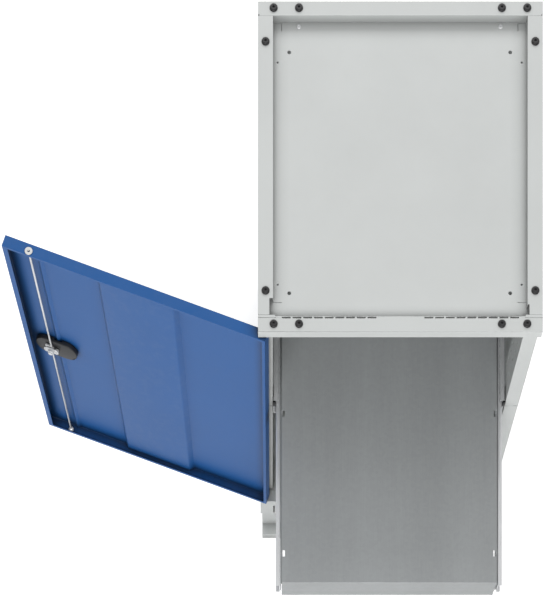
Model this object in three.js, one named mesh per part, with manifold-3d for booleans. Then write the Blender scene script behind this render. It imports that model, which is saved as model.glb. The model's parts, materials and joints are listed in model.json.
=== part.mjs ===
// Sheet-steel base cabinet with a hinged door, a two-rod lock and a pull-out tray on ball runners.
// Millimetres. +X right, +Y back, +Z up. The origin is on the floor under the middle of the cabinet.
// It is stored as it is shown in use: door swung right back, tray pulled out.
import * as THREE from "three";
import { mergeVertices } from "three/addons/utils/BufferGeometryUtils.js";
import Module from "manifold-3d";

const wasm = await Module();
wasm.setup();

// ---------------------------------------------------------------- driving dimensions
const WIDTH = 500;
const DEPTH = 580;
const HEIGHT = 800;
const SHEET = 1.2; // gauge of the cabinet's sheet steel
const GAP = 0.3; // clearance between pieces that don't touch on a flat face

const TOP_FRAME_HEIGHT = 17; // top frame above the door
const FRONT_RAIL_DEPTH = 27.6; // top rails, seen from above
const REAR_RAIL_DEPTH = 25;
const SIDE_FLANGE = 26.5; // top flange of a side panel
const RAIL_EAR_WIDTH = 30;
const RAIL_EAR_DEPTH = 2.9; // ends of the front rail carried back beyond it
const RAIL_TAB_WIDTH = 60; // tab between two nicks in the middle of the front rail
const RAIL_NICK = 1.2;
const EAR_GROOVE = { fromFront: 25, width: 0.7, depth: 0.4 };
const ROOF_DROP = 16; // roof panel below the top of the frame
const ROOF_SLIT = 0.8; // width of the bending slits near the corners of the roof panel
const ROOF_SLIT_FROM_SIDE = 41.4;
const ROOF_SLIT_FROM_REAR = [26.4, 40];
const ROOF_SLIT_FROM_FRONT = 61;

const POST_WIDTH = 26; // front flange of a side panel
const POST_SETBACK = 24; // behind the front plane
const POST_RETURN = 74; // perforated return behind the front flange
const SYSTEM_PITCH = 25;
const SYSTEM_SLOT_WIDTH = 4;
const SYSTEM_SLOT_HEIGHT = 12;

const PLINTH_HEIGHT = 118;
const PLINTH_INSET = 3; // sides of the plinth behind the cabinet's sides
const BASE_PAN_HEIGHT = 18;
const BASE_RAIL_HEIGHT = 56;
const BASE_SLIT_WIDTH = 3;
const BASE_SLIT_HEIGHT = 36;

const DOOR_THICKNESS = 20;
const DOOR_SIDE_GAP = 2.25;
const DOOR_TOP_GAP = 1.8;
const DOOR_BOTTOM_GAP = 1.2;
const DOOR_LIP = 10; // return lip at the free edge
const DOOR_END_LIP = 5.5; // return lips at the top and bottom
const DOOR_HINGE_LIP = 6;
const DOOR_OPEN_ANGLE = 200.1; // degrees, the hinge's own stop
const PIVOT_FROM_SIDE = 9.5;
const PIVOT_FROM_FRONT = 7.5;
const PIVOT_RADIUS = 3;
const PIVOT_HOLE_RADIUS = 3.3;

const STIFFENER_FACE = 138;
const STIFFENER_FOOT = 4;
const STIFFENER_HEIGHT = 9;
const LOCK_FROM_EDGE = 48.5; // spindle and rods, from the door's free edge
const LOCK_STRIP_START = 61; // stiffening bead beside the rods, from the free edge
const LOCK_STRIP_WIDTH = 6;
const LOCK_STRIP_HEIGHT = 2;
const LOCK_STRIP_SLOPE = 1.5;
const LOCK_STRIP_FOOT = 3;
const ROD_FROM_INNER = 7; // rod axis ahead of the inner face of the door
const ROD_RADIUS = 1.9;
const ROD_TRAVEL = 10.5;
const BUSH_RADIUS = 7;
const LOWER_BUSH_RADIUS = 5.5;
const BUSH_COLLAR = 0.9;
const LOWER_BUSH_COLLAR = 1.6;
const BUSH_WALL = 1.4; // tube of a rod bush outside its bore
const BUSH_PLAY = 0.8; // round the rod
const LOCK_CASE_LENGTH = 85;
const LOCK_CASE_HEIGHT = 46;
const LOCK_CASE_PLAY = 0.4; // between the case and the rods that pass over it
const LOCK_CASE_SHIFT = 8; // middle of the case beyond the spindle, away from the free edge
const CAM_LENGTH = 30;
const CAM_WIDTH = 13;
const CAM_THICKNESS = 2.5;
const SPINDLE_RADIUS = 4;
const KNOB_RADIUS = 16;
const KNOB_LENGTH = 22;
const KEY_BARREL_RADIUS = 7;

const TRAY_LEVEL = 530; // tray floor, its upper face
const TRAY_DEPTH = 500;
const TRAY_REACH = 325; // front of the pulled-out tray ahead of the cabinet's front plane
const TRAY_FLANGE = 58; // front flange
const TRAY_SIDE_FLANGE = 42;
const TRAY_SHEET = 1.5;
const TRAY_SLOT = [6, 12];
const TRAY_SLOT_PLACES = [56, 325]; // behind the tray's front edge

const RUNNER_WIDTH = 12.7;
const RUNNER_HEIGHT = 45;
const RUNNER_LENGTH = 500;
const RUNNER_SHEET = 1.2;
const RUNNER_BRACKET = 1.5; // packer between a side panel and its runner
const RUNNER_BRACKET_START = 32; // behind the front of the post
const RUNNER_SETBACK = 1.5; // front of the fixed member behind the post's front face
const INNER_RUNNER_LEAD = 7; // inner member ahead of the tray's front
const INNER_RUNNER_WIDTH = 8.4;
const BALL_RACE = 5.8; // height of the ball space between the two members
const BALLS_PER_ROW = 6;
const CAGE_LENGTH = 120;
const STOP_LENGTH = 5;

const SCREW_HEAD_RADIUS = 7;
const SCREW_HEAD_HEIGHT = 3.2;
const SCREW_SHANK_RADIUS = 2.5;
const SCREW_LENGTH = 9;
const SCREW_FROM_SIDE = [27.5, 72];
const SCREW_FROM_FRONT = 13.8;
const SCREW_FROM_REAR = 11.7;
const SIDE_SCREW_FROM_SIDE = 13.3;
const SIDE_SCREW_FROM_FRONT = 72.3;
const SIDE_SCREW_FROM_REAR = 70.7;

const SIDE_FOOT = 18; // bottom flange of a side panel
const POST_FOOT_GAP = 8; // front post above the base rail
const SEAM_LEVEL = 511.5; // joint line across the front posts
const SEAM_WIDTH = 1;
const SEAM_DEPTH = 0.5;
const SYSTEM_SLOT_ROWS = [30, 59]; // behind the front of the post
const RAIL_NOTCH = { right: [3, 18], left: [6.5, 29] }; // front inner corners of the side flanges
const RELIEF = 2.5;
const ROD_HOLE_PLAY = 1.5;
const VENT_LENGTH = 15.6;
const VENT_WIDTH = 2.5;
const VENT_PITCH = 18.8;
const VENT_COUNT = 9;
const VENT_FROM_SIDE = 41.8;
const ROOF_HOLES = [
  { radius: 3.5, fromSide: 55, fromFront: 77.5, fromRear: 77.5 },
  { radius: 2, fromSide: 34.6, fromFront: 92.5, fromRear: 95.4 },
];
const ROOF_RIVET = { radius: 4.2, shank: 2.2, head: 1.4, length: 3.5, fromSide: 72, fromRear: 32 };
const BASE_RAIL_TONGUE = 20; // upper flange carried back under the floor opening
const BASE_PAN_FLANGE = 30;
const PIN_REACH = 4;
const PIN_HEAD_RADIUS = 5;
const PIN_HEAD_HEIGHT = 2;
const STIFFENER_SLOPE = 8;
const ROSE_THICKNESS = 3;
const KNOB_BASE = 8;
const KNOB_GRIP = 16;
const NUT_THICKNESS = 4;
const NUT_RADIUS = 6.5;
const CAM_STUD_RADIUS = 2.2;
const ROD_TIP_INSET = 5;
const ROD_ELBOW = 9;
const TRAY_JOGGLE = 3;
const TRAY_JOGGLE_DROP = 10;
const TRAY_REAR_FLANGE = 25;
const FIXED_FLANGE = 9.5;
const STOP_HEIGHT = 12;
const CAGE_SHEET = 0.8;

const ROUND = 24; // facets round a visible cylinder
const SMALL_ROUND = 12;

// ---------------------------------------------------------------- worked out from them
const right = WIDTH / 2;
const back = DEPTH / 2;
const front = -back;
const frameBottom = HEIGHT - TOP_FRAME_HEIGHT;
const roofTop = HEIGHT - ROOF_DROP;
const postFront = front + POST_SETBACK;
const postInner = right - POST_WIDTH;
const bayBottom = PLINTH_HEIGHT + BASE_RAIL_HEIGHT; // underside of the door opening
const railInnerFront = front + FRONT_RAIL_DEPTH;
const railInnerRear = back - REAR_RAIL_DEPTH;
const sideRailFront = railInnerFront + RAIL_EAR_DEPTH;

const doorBottom = bayBottom + DOOR_BOTTOM_GAP;
const doorTop = frameBottom - DOOR_TOP_GAP;
const doorMiddle = (doorBottom + doorTop) / 2;
const pivotX = -right + PIVOT_FROM_SIDE;
const pivotY = front + PIVOT_FROM_FRONT;

const trayFrontY = front - TRAY_REACH;
const trayRearY = trayFrontY + TRAY_DEPTH;
const runnerOuterX = postInner - RUNNER_BRACKET;
const runnerInnerX = runnerOuterX - RUNNER_WIDTH;
const trayHalfWidth = runnerInnerX - GAP;
const innerRunnerHeight = RUNNER_HEIGHT - 2 * (RUNNER_SHEET + BALL_RACE);
const runnerTop = TRAY_LEVEL - TRAY_SHEET;
const runnerMiddle = runnerTop - RUNNER_HEIGHT / 2;
const fixedFrontY = postFront + RUNNER_SETBACK;
const innerFrontY = trayFrontY - INNER_RUNNER_LEAD;

// ---------------------------------------------------------------- solids
// A closed geometry as a manifold solid, and back.
function solid(geometry) {
  const plain = new THREE.BufferGeometry();
  const source = geometry.index ? geometry.toNonIndexed() : geometry;
  plain.setAttribute("position", source.getAttribute("position"));
  const merged = mergeVertices(plain, 1e-4);
  return new wasm.Manifold(
    new wasm.Mesh({
      numProp: 3,
      vertProperties: new Float32Array(merged.attributes.position.array),
      triVerts: new Uint32Array(merged.index.array),
    }),
  );
}

function geometryOf(piece) {
  const mesh = piece.getMesh();
  const geometry = new THREE.BufferGeometry();
  geometry.setAttribute("position", new THREE.BufferAttribute(mesh.vertProperties, 3));
  geometry.setIndex(new THREE.BufferAttribute(mesh.triVerts, 1));
  geometry.computeVertexNormals();
  return geometry;
}

function box(x0, x1, y0, y1, z0, z1) {
  const geometry = new THREE.BoxGeometry(x1 - x0, y1 - y0, z1 - z0);
  geometry.translate((x0 + x1) / 2, (y0 + y1) / 2, (z0 + z1) / 2);
  return solid(geometry);
}

// A cylinder along X, Y or Z whose axis passes through the two other coordinates of centre.
function rod(axis, centre, radius, from, to, facets = ROUND) {
  const geometry = new THREE.CylinderGeometry(radius, radius, to - from, facets);
  if (axis === "x") geometry.rotateZ(Math.PI / 2);
  if (axis === "z") geometry.rotateX(Math.PI / 2);
  const middle = { x: centre[0], y: centre[1], z: centre[2], [axis]: (from + to) / 2 };
  geometry.translate(middle.x, middle.y, middle.z);
  return solid(geometry);
}

// A solid turned from a profile of [radius, z] points, standing on a point.
function turned(points, centre, facets = ROUND) {
  const profile = points.map(([radius, z]) => new THREE.Vector2(radius, z));
  const geometry = new THREE.LatheGeometry(profile, facets);
  geometry.rotateX(Math.PI / 2);
  geometry.translate(...centre);
  return solid(geometry);
}

const join = (...pieces) => pieces.reduce((sum, piece) => sum.add(piece));
const cut = (piece, ...tools) => tools.reduce((rest, tool) => rest.subtract(tool), piece);
const mirrored = (piece) => piece.mirror([1, 0, 0]);

// ---------------------------------------------------------------- finishes
const finish = (colour, roughness, metalness) =>
  new THREE.MeshStandardMaterial({ color: colour, roughness, metalness });

const finishes = {
  grey_paint: finish(0xd2d5d3, 0.5, 0),
  blue_paint: finish(0x2c5ba5, 0.45, 0),
  galvanised: finish(0x8f9390, 0.45, 0.8),
  zinc: finish(0xc4c6c8, 0.35, 0.9),
  black_plastic: finish(0x1b1c1d, 0.5, 0),
  white_plastic: finish(0xe9e9e6, 0.5, 0),
};

const cabinet = new THREE.Group();
const doorGroup = new THREE.Group();

function place(group, name, slot, piece) {
  const mesh = new THREE.Mesh(geometryOf(piece), finishes[slot]);
  mesh.name = name;
  group.add(mesh);
}

// ---------------------------------------------------------------- top frame screws
const screwPlaces = [];
for (const side of [-1, 1]) {
  for (const inset of SCREW_FROM_SIDE) {
    screwPlaces.push([side * (right - inset), front + SCREW_FROM_FRONT]);
    screwPlaces.push([side * (right - inset), back - SCREW_FROM_REAR]);
  }
  const x = side * (right - SIDE_SCREW_FROM_SIDE);
  screwPlaces.push([x, front + SIDE_SCREW_FROM_FRONT]);
  screwPlaces.push([x, back - SIDE_SCREW_FROM_REAR]);
}

const screwHoles = (z0, z1) =>
  screwPlaces.map(([x, y]) => rod("z", [x, y, 0], SCREW_SHANK_RADIUS + GAP, z0, z1, SMALL_ROUND));

function topScrews() {
  screwPlaces.forEach(([x, y], index) => {
    const rim = SCREW_HEAD_RADIUS;
    const head = SCREW_HEAD_HEIGHT;
    const profile = [
      [0, -SCREW_LENGTH],
      [SCREW_SHANK_RADIUS, -SCREW_LENGTH],
      [SCREW_SHANK_RADIUS, 0],
      [rim, 0],
      [rim, head * 0.35],
      [rim * 0.82, head * 0.85],
      [rim * 0.55, head],
      [rim * 0.4, head * 0.55],
      [0, head * 0.5],
    ];
    place(cabinet, `top_screw_${index + 1}`, "black_plastic", turned(profile, [x, y, HEIGHT], 20));
  });
}

// ---------------------------------------------------------------- side panels
function systemSlots(y) {
  const slots = [];
  const [halfWidth, first, last] = [SYSTEM_SLOT_WIDTH / 2, bayBottom + 40, frameBottom - 30];
  const [x0, x1] = [postInner - 1, postInner + SHEET + 1];
  for (let z = first; z < last; z += SYSTEM_PITCH)
    slots.push(box(x0, x1, y - halfWidth, y + halfWidth, z, z + SYSTEM_SLOT_HEIGHT));
  return slots;
}

// Outer wall, top flange, perforated front and rear posts and bottom flange, folded from one sheet.
function rightSidePanel() {
  const [z0, z1] = [bayBottom, frameBottom];
  const rearY = back - SHEET;
  const webX = postInner + SHEET;
  const wall = box(right - SHEET, right, postFront, rearY, PLINTH_HEIGHT, z1);
  const foot = box(right - SIDE_FOOT, right, postFront, rearY, PLINTH_HEIGHT, PLINTH_HEIGHT + SHEET);
  const postFace = box(postInner, right, postFront, postFront + SHEET, z0 + POST_FOOT_GAP, z1);
  const postWeb = box(postInner, webX, postFront, postFront + POST_RETURN, z0, z1);
  const rearFace = box(postInner, right, rearY - SHEET, rearY, z0, z1);
  const rearWeb = box(postInner, webX, rearY - POST_RETURN, rearY, z0, z1);
  const seamRear = postFront + SEAM_DEPTH;
  const seam = box(postInner - 1, right + 1, postFront - 1, seamRear, SEAM_LEVEL, SEAM_LEVEL + SEAM_WIDTH);
  const lower = cut(join(wall, foot, postFace, postWeb, rearFace, rearWeb), seam);
  const columns = SYSTEM_SLOT_ROWS.flatMap((inset) => systemSlots(postFront + inset));
  return cut(lower, ...columns, ...systemSlots(rearY - SYSTEM_SLOT_ROWS[0]));
}

// Top flange of a side, with its outer wall and the lip that holds the roof panel down.
function rightSideRail(notchSize) {
  const [y0, y1] = [sideRailFront, railInnerRear];
  const lipX = right - SIDE_FLANGE;
  const wall = box(right - SHEET, right, y0, y1, frameBottom, HEIGHT);
  const flange = box(lipX, right, y0, y1, HEIGHT - SHEET, HEIGHT);
  const lip = box(lipX, lipX + SHEET, y0, y1, roofTop, HEIGHT);
  const notch = box(lipX - 1, lipX + notchSize[0], y0 - 1, y0 + notchSize[1], roofTop - 1, HEIGHT + 1);
  return cut(join(wall, flange, lip), notch, ...screwHoles(HEIGHT - 3, HEIGHT + 1));
}

// ---------------------------------------------------------------- top frame
// The end walls close a rail at both sides of the cabinet.
const railEnds = (y0, y1) => {
  const wall = box(right - SHEET, right, y0, y1, frameBottom, HEIGHT);
  return [mirrored(wall), wall];
};

function rearTopRail() {
  const lipEnd = right - SIDE_FLANGE;
  const top = box(-right, right, railInnerRear, back, HEIGHT - SHEET, HEIGHT);
  const wall = box(-right, right, back - SHEET, back, frameBottom, HEIGHT);
  const lip = box(-lipEnd, lipEnd, railInnerRear, railInnerRear + SHEET, roofTop, HEIGHT);
  const [y0, y1] = [railInnerRear - 1, railInnerRear + RELIEF];
  const relief = box(right - RELIEF, right + RELIEF, y0, y1, HEIGHT - 3, HEIGHT + 1);
  const rail = join(top, wall, lip, ...railEnds(railInnerRear, back));
  return cut(rail, relief, mirrored(relief), ...screwHoles(HEIGHT - 3, HEIGHT + 1));
}

const rodX = right - DOOR_SIDE_GAP - LOCK_FROM_EDGE;
const rodY = front + DOOR_THICKNESS - ROD_FROM_INNER;
const rodHole = (z0, z1) => rod("z", [rodX, rodY, 0], ROD_RADIUS + ROD_HOLE_PLAY, z0, z1, SMALL_ROUND);
const pinHole = (z0, z1) => rod("z", [pivotX, pivotY, 0], PIVOT_RADIUS + 0.1, z0, z1);

function frontTopRail() {
  const lipEnd = right - SIDE_FLANGE;
  const lipFront = railInnerFront - SHEET;
  const earRear = sideRailFront - GAP;
  const top = box(-right, right, front, railInnerFront, HEIGHT - SHEET, HEIGHT);
  const wall = box(-right, right, front, front + SHEET, frameBottom, HEIGHT);
  const lower = box(-right, right, front, railInnerFront, frameBottom, frameBottom + SHEET);
  const lip = box(-lipEnd, lipEnd, lipFront, railInnerFront, frameBottom, HEIGHT);
  const pieces = [top, wall, lower, lip, ...railEnds(front, earRear)];
  const cuts = [];
  for (const s of [-1, 1]) {
    const earInner = s * (right - RAIL_EAR_WIDTH);
    const [x0, x1] = [Math.min(earInner, s * right), Math.max(earInner, s * right)];
    pieces.push(box(x0, x1, lipFront, earRear, HEIGHT - SHEET, HEIGHT));
    const { fromFront, width, depth } = EAR_GROOVE;
    const grooveFront = front + fromFront - width / 2;
    cuts.push(box(x0 - 1, x1 + 1, grooveFront, grooveFront + width, HEIGHT - depth, HEIGHT + 1));
    const nick = (s * RAIL_TAB_WIDTH) / 2;
    const [n0, n1] = [nick - RAIL_NICK / 2, nick + RAIL_NICK / 2];
    cuts.push(box(n0, n1, lipFront, railInnerFront + 1, HEIGHT - 3, HEIGHT + 1));
    for (let i = 0; i < VENT_COUNT; i += 1) {
      const middle = s * (right - VENT_FROM_SIDE - VENT_LENGTH / 2 - i * VENT_PITCH);
      const [v0, v1] = [middle - VENT_LENGTH / 2, middle + VENT_LENGTH / 2];
      cuts.push(box(v0, v1, lipFront - VENT_WIDTH, lipFront, HEIGHT - 3, HEIGHT + 1));
    }
  }
  cuts.push(pinHole(frameBottom - 1, frameBottom + 3), rodHole(frameBottom - 1, frameBottom + 3));
  return cut(join(...pieces), ...cuts, ...screwHoles(HEIGHT - 3, HEIGHT + 1));
}

// The roof panel lies on the posts, under the lips of the rails.
function roofPanel() {
  const halfWidth = right - SHEET - GAP;
  const [z0, z1] = [frameBottom - 1, roofTop + 1];
  const plate = box(-halfWidth, halfWidth, railInnerFront + GAP, back - SHEET - GAP, frameBottom, roofTop);
  const cuts = [];
  for (const s of [-1, 1]) {
    const slit = ROOF_SLIT / 2;
    const inner = s * (right - ROOF_SLIT_FROM_SIDE);
    const outer = s * (right - SIDE_FLANGE);
    const [x0, x1] = [Math.min(inner, outer) - slit, Math.max(inner, outer) + slit];
    const [rearEnd, frontEnd] = ROOF_SLIT_FROM_REAR.map((inset) => back - inset);
    const frontSlit = front + ROOF_SLIT_FROM_FRONT;
    cuts.push(box(x0, x1, rearEnd - slit, rearEnd + slit, z0, z1));
    cuts.push(box(inner - slit, inner + slit, frontEnd, rearEnd + slit, z0, z1));
    cuts.push(box(x0, x1, frontSlit - slit, frontSlit + slit, z0, z1));
    const drill = (fromSide, y, radius) =>
      cuts.push(rod("z", [s * (right - fromSide), y, 0], radius, z0, z1, SMALL_ROUND));
    drill(ROOF_RIVET.fromSide, back - ROOF_RIVET.fromRear, ROOF_RIVET.shank + GAP);
    for (const hole of ROOF_HOLES) {
      drill(hole.fromSide, front + hole.fromFront, hole.radius);
      drill(hole.fromSide, back - hole.fromRear, hole.radius);
    }
  }
  return cut(plate, ...cuts);
}

function roofRivet(side) {
  const { radius, shank, head } = ROOF_RIVET;
  const profile = [
    [0, -ROOF_RIVET.length],
    [shank, -ROOF_RIVET.length],
    [shank, 0],
    [radius, 0],
    [radius * 0.85, head * 0.75],
    [radius * 0.4, head],
    [0, head * 0.6],
  ];
  return turned(profile, [side * (right - ROOF_RIVET.fromSide), back - ROOF_RIVET.fromRear, roofTop], 16);
}

// ---------------------------------------------------------------- back, floor and base
const backPanel = () => box(-right, right, back - SHEET, back, PLINTH_HEIGHT, frameBottom);

const floorPanel = () =>
  box(-right + SHEET, right - SHEET, postFront, back - SHEET, bayBottom - 2 * SHEET, bayBottom - SHEET);

// Front rail under the door opening, with end walls, relief slits and the seats of the lower pin and rod.
function baseFrontRail() {
  const z0 = PLINTH_HEIGHT;
  const wall = box(-right, right, front, front + SHEET, z0, bayBottom);
  const upper = box(-right, right, front, postFront + BASE_RAIL_TONGUE, bayBottom - SHEET, bayBottom);
  const lower = box(-right, right, front, postFront + SHEET, z0, z0 + SHEET);
  const end = box(right - SHEET, right, front, postFront, z0, bayBottom);
  const slitX = postInner - 1.5 * BASE_SLIT_WIDTH;
  const clearances = [
    box(right - SIDE_FOOT - GAP, right + 1, postFront, back, z0 - 1, bayBottom - SHEET - 1),
    box(right - SHEET, right + 1, postFront, back, z0 - 1, bayBottom + 1),
    box(slitX, slitX + BASE_SLIT_WIDTH, front - 1, front + SHEET + 1, z0 - 1, z0 + BASE_SLIT_HEIGHT),
  ];
  const rail = join(wall, upper, lower, end, mirrored(end));
  const holes = [pinHole(bayBottom - 3, bayBottom + 1), rodHole(bayBottom - 3, bayBottom + 1)];
  return cut(rail, ...clearances, ...clearances.map(mirrored), ...holes);
}

const plinthX = right - PLINTH_INSET;
const plinthRear = back - PLINTH_INSET;
const kickPanel = () => box(-plinthX, plinthX, postFront, postFront + SHEET, BASE_PAN_HEIGHT, PLINTH_HEIGHT);
const plinthRearPanel = () =>
  box(-plinthX, plinthX, plinthRear - SHEET, plinthRear, BASE_PAN_HEIGHT, PLINTH_HEIGHT);
const rightPlinthSide = () =>
  box(plinthX - SHEET, plinthX, postFront + SHEET, plinthRear - SHEET, BASE_PAN_HEIGHT, PLINTH_HEIGHT);

// Flat-bottomed pan that stands on the floor, its edges turned in to carry the plinth.
function basePan() {
  const inset = (edge, z0, z1) =>
    box(-plinthX + edge, plinthX - edge, front + edge, plinthRear - edge, z0, z1);
  const hollow = inset(SHEET, SHEET, BASE_PAN_HEIGHT - SHEET);
  const mouth = inset(BASE_PAN_FLANGE, SHEET, BASE_PAN_HEIGHT + 1);
  return cut(inset(0, 0, BASE_PAN_HEIGHT), hollow, mouth);
}

// ---------------------------------------------------------------- hinge
// Pins fixed in the rails above and below the door; the lower one carries a washer that the door stands on.
function hingePin(upper) {
  const reach = DOOR_BOTTOM_GAP + SHEET + PIN_REACH;
  const profile = [
    [0, 0],
    [PIN_HEAD_RADIUS, 0],
    [PIN_HEAD_RADIUS, PIN_HEAD_HEIGHT],
    [PIVOT_RADIUS, PIN_HEAD_HEIGHT],
    [PIVOT_RADIUS, PIN_HEAD_HEIGHT + SHEET + reach - 1],
    [PIVOT_RADIUS - 1, PIN_HEAD_HEIGHT + SHEET + reach],
    [0, PIN_HEAD_HEIGHT + SHEET + reach],
  ];
  const base = bayBottom - SHEET - PIN_HEAD_HEIGHT;
  if (!upper) return turned(profile, [pivotX, pivotY, base]);
  const flipped = profile.map(([radius, z]) => [radius, -z]).reverse();
  return turned(flipped, [pivotX, pivotY, frameBottom + SHEET + PIN_HEAD_HEIGHT]);
}

function hingeWasher() {
  const [inner, outer, height] = [PIVOT_RADIUS + 0.2, PIN_HEAD_RADIUS + 1, DOOR_BOTTOM_GAP - GAP];
  const profile = [
    [inner, 0],
    [outer, 0],
    [outer, height],
    [inner, height],
    [inner, 0],
  ];
  return turned(profile, [pivotX, pivotY, bayBottom]);
}

// ---------------------------------------------------------------- door, drawn shut and then swung open
const doorLeft = -right + DOOR_SIDE_GAP;
const doorRight = right - DOOR_SIDE_GAP;
const doorInner = front + DOOR_THICKNESS;
const skinInner = front + SHEET;

function bushSeat(radius, z0, z1) {
  return rod("z", [rodX, rodY, 0], radius, z0, z1);
}

function doorPanel() {
  const outer = box(doorLeft, doorRight, front, doorInner, doorBottom, doorTop);
  const hollow = box(
    doorLeft + SHEET,
    doorRight - SHEET,
    skinInner,
    doorInner - SHEET,
    doorBottom + SHEET,
    doorTop - SHEET,
  );
  const mouth = box(
    doorLeft + DOOR_HINGE_LIP,
    doorRight - DOOR_LIP,
    skinInner,
    doorInner + 1,
    doorBottom + DOOR_END_LIP,
    doorTop - DOOR_END_LIP,
  );
  const seat = ROD_RADIUS + BUSH_PLAY + BUSH_WALL + GAP;
  return cut(
    outer,
    hollow,
    mouth,
    rod("z", [pivotX, pivotY, 0], PIVOT_HOLE_RADIUS, doorBottom - 1, doorBottom + 3),
    rod("z", [pivotX, pivotY, 0], PIVOT_HOLE_RADIUS, doorTop - 3, doorTop + 1),
    bushSeat(seat, doorBottom - 1, doorBottom + 3),
    bushSeat(seat, doorTop - 3, doorTop + 1),
    rod("y", [rodX, 0, doorMiddle], SPINDLE_RADIUS + 1, front - 1, skinInner + 1),
  );
}

// A pressed channel on the door's inner face: feet, sloped webs and a flat face, run from bottom to top.
function hatSection(middle, face, slope, foot, height) {
  const half = face / 2;
  const y = skinInner + GAP;
  const run = [
    [-half - slope - foot, 0],
    [-half - slope, 0],
    [-half, height],
    [half, height],
    [half + slope, 0],
    [half + slope + foot, 0],
  ];
  const lower = run.map(([x, rise]) => new THREE.Vector2(middle + x, y + rise));
  const upper = run.map(([x, rise]) => new THREE.Vector2(middle + x, y + rise + SHEET)).reverse();
  const shape = new THREE.Shape([...lower, ...upper]);
  const [z0, z1] = [doorBottom + SHEET + GAP, doorTop - SHEET - GAP];
  const geometry = new THREE.ExtrudeGeometry(shape, { depth: z1 - z0, bevelEnabled: false });
  geometry.translate(0, 0, z0);
  return solid(geometry);
}

const doorStiffener = () =>
  hatSection(0, STIFFENER_FACE, STIFFENER_SLOPE, STIFFENER_FOOT, STIFFENER_HEIGHT - GAP - SHEET);
const stripX = doorRight - LOCK_STRIP_START;
const stripHalf = LOCK_STRIP_WIDTH / 2 + LOCK_STRIP_SLOPE + LOCK_STRIP_FOOT;
const lockStrip = () =>
  hatSection(stripX, LOCK_STRIP_WIDTH, LOCK_STRIP_SLOPE, LOCK_STRIP_FOOT, LOCK_STRIP_HEIGHT - GAP);

function rodBush(collarRadius, z, collar) {
  const bore = ROD_RADIUS + BUSH_PLAY;
  const tube = bore + BUSH_WALL;
  const profile = [
    [bore, -SHEET - 2],
    [tube, -SHEET - 2],
    [tube, GAP],
    [collarRadius, GAP],
    [collarRadius, GAP + collar * 0.5],
    [collarRadius - collar * 0.5, GAP + collar],
    [bore, GAP + collar],
    [bore, -SHEET - 2],
  ];
  return turned(profile, [rodX, rodY, z]);
}

// ---------------------------------------------------------------- lock
const lockPlane = skinInner + GAP; // back of the case, on the door's inner face
const caseFront = rodY - ROD_RADIUS - LOCK_CASE_PLAY;
const camBack = rodY + ROD_RADIUS + GAP;
const camFront = camBack + CAM_THICKNESS;

// An upright plate in the door's plane, drawn as a shape of x and z about the spindle.
function plate(shape, y0, y1) {
  const depth = y1 - y0;
  const geometry = new THREE.ExtrudeGeometry(shape, { depth, bevelEnabled: false, curveSegments: 8 });
  geometry.rotateX(Math.PI / 2);
  geometry.translate(rodX, y1, doorMiddle);
  return solid(geometry);
}

function stadium(length, height, middle = 0) {
  const [half, radius] = [length / 2 - height / 2, height / 2];
  const shape = new THREE.Shape();
  shape.absarc(middle + half, 0, radius, -Math.PI / 2, Math.PI / 2, false);
  shape.absarc(middle - half, 0, radius, Math.PI / 2, (3 * Math.PI) / 2, false);
  return shape;
}

function lockCase() {
  const body = plate(stadium(LOCK_CASE_LENGTH, LOCK_CASE_HEIGHT, -LOCK_CASE_SHIFT), lockPlane, caseFront);
  const groove = box(
    stripX - stripHalf - GAP,
    stripX + stripHalf + GAP,
    lockPlane - 1,
    lockPlane + LOCK_STRIP_HEIGHT + SHEET + GAP,
    doorMiddle - LOCK_CASE_HEIGHT,
    doorMiddle + LOCK_CASE_HEIGHT,
  );
  const bore = rod("y", [rodX, 0, doorMiddle], SPINDLE_RADIUS + 2 * GAP, lockPlane - 1, caseFront + 1);
  return cut(body, groove, bore);
}

const lockRose = () =>
  cut(
    rod("y", [rodX, 0, doorMiddle], KNOB_RADIUS + 6, front - GAP - ROSE_THICKNESS, front - GAP, 32),
    rod("y", [rodX, 0, doorMiddle], SPINDLE_RADIUS + 0.6, front - 10, front + 1),
  );

const knobBack = front - GAP - ROSE_THICKNESS - 0.5;

// Round knob with a grip bar across it and a blind hole for the key barrel.
function lockKnob() {
  const body = rod("y", [rodX, 0, doorMiddle], KNOB_RADIUS, knobBack - KNOB_BASE, knobBack, 32);
  const [half, rise, z] = [KNOB_GRIP / 2, KNOB_RADIUS - 1, doorMiddle];
  const [face, shoulder] = [knobBack - KNOB_LENGTH, knobBack - KNOB_BASE];
  const grip = box(rodX - half, rodX + half, face, shoulder + 1, z - rise, z + rise);
  const barrelSeat = rod("y", [rodX, 0, z], KEY_BARREL_RADIUS + GAP, face - 1, shoulder + 2);
  const spindleSeat = rod("y", [rodX, 0, z], SPINDLE_RADIUS + GAP, knobBack - 3, knobBack + 1);
  return cut(join(body, grip), barrelSeat, spindleSeat);
}

function keyBarrel() {
  const face = knobBack - KNOB_LENGTH;
  const body = rod("y", [rodX, 0, doorMiddle], KEY_BARREL_RADIUS, face, knobBack - KNOB_BASE + 2 - GAP);
  return cut(body, box(rodX - 0.8, rodX + 0.8, face - 1, face + 5, doorMiddle - 4, doorMiddle + 4));
}

const lockSpindle = () =>
  rod("y", [rodX, 0, doorMiddle], SPINDLE_RADIUS, knobBack - 3 + GAP, camFront + GAP + NUT_THICKNESS + 2);

// Cam across the spindle, with the two studs that drive the rods.
function lockCam() {
  const body = plate(stadium(CAM_LENGTH, CAM_WIDTH), camBack, camFront);
  const studs = [-1, 1].map((s) => {
    const centre = [rodX + s * ROD_TRAVEL, 0, doorMiddle];
    return rod("y", centre, CAM_STUD_RADIUS, camFront - 1, camFront + 2, SMALL_ROUND);
  });
  const bore = rod("y", [rodX, 0, doorMiddle], SPINDLE_RADIUS + GAP, camBack - 1, camFront + 1);
  return cut(join(body, ...studs), bore);
}

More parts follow.
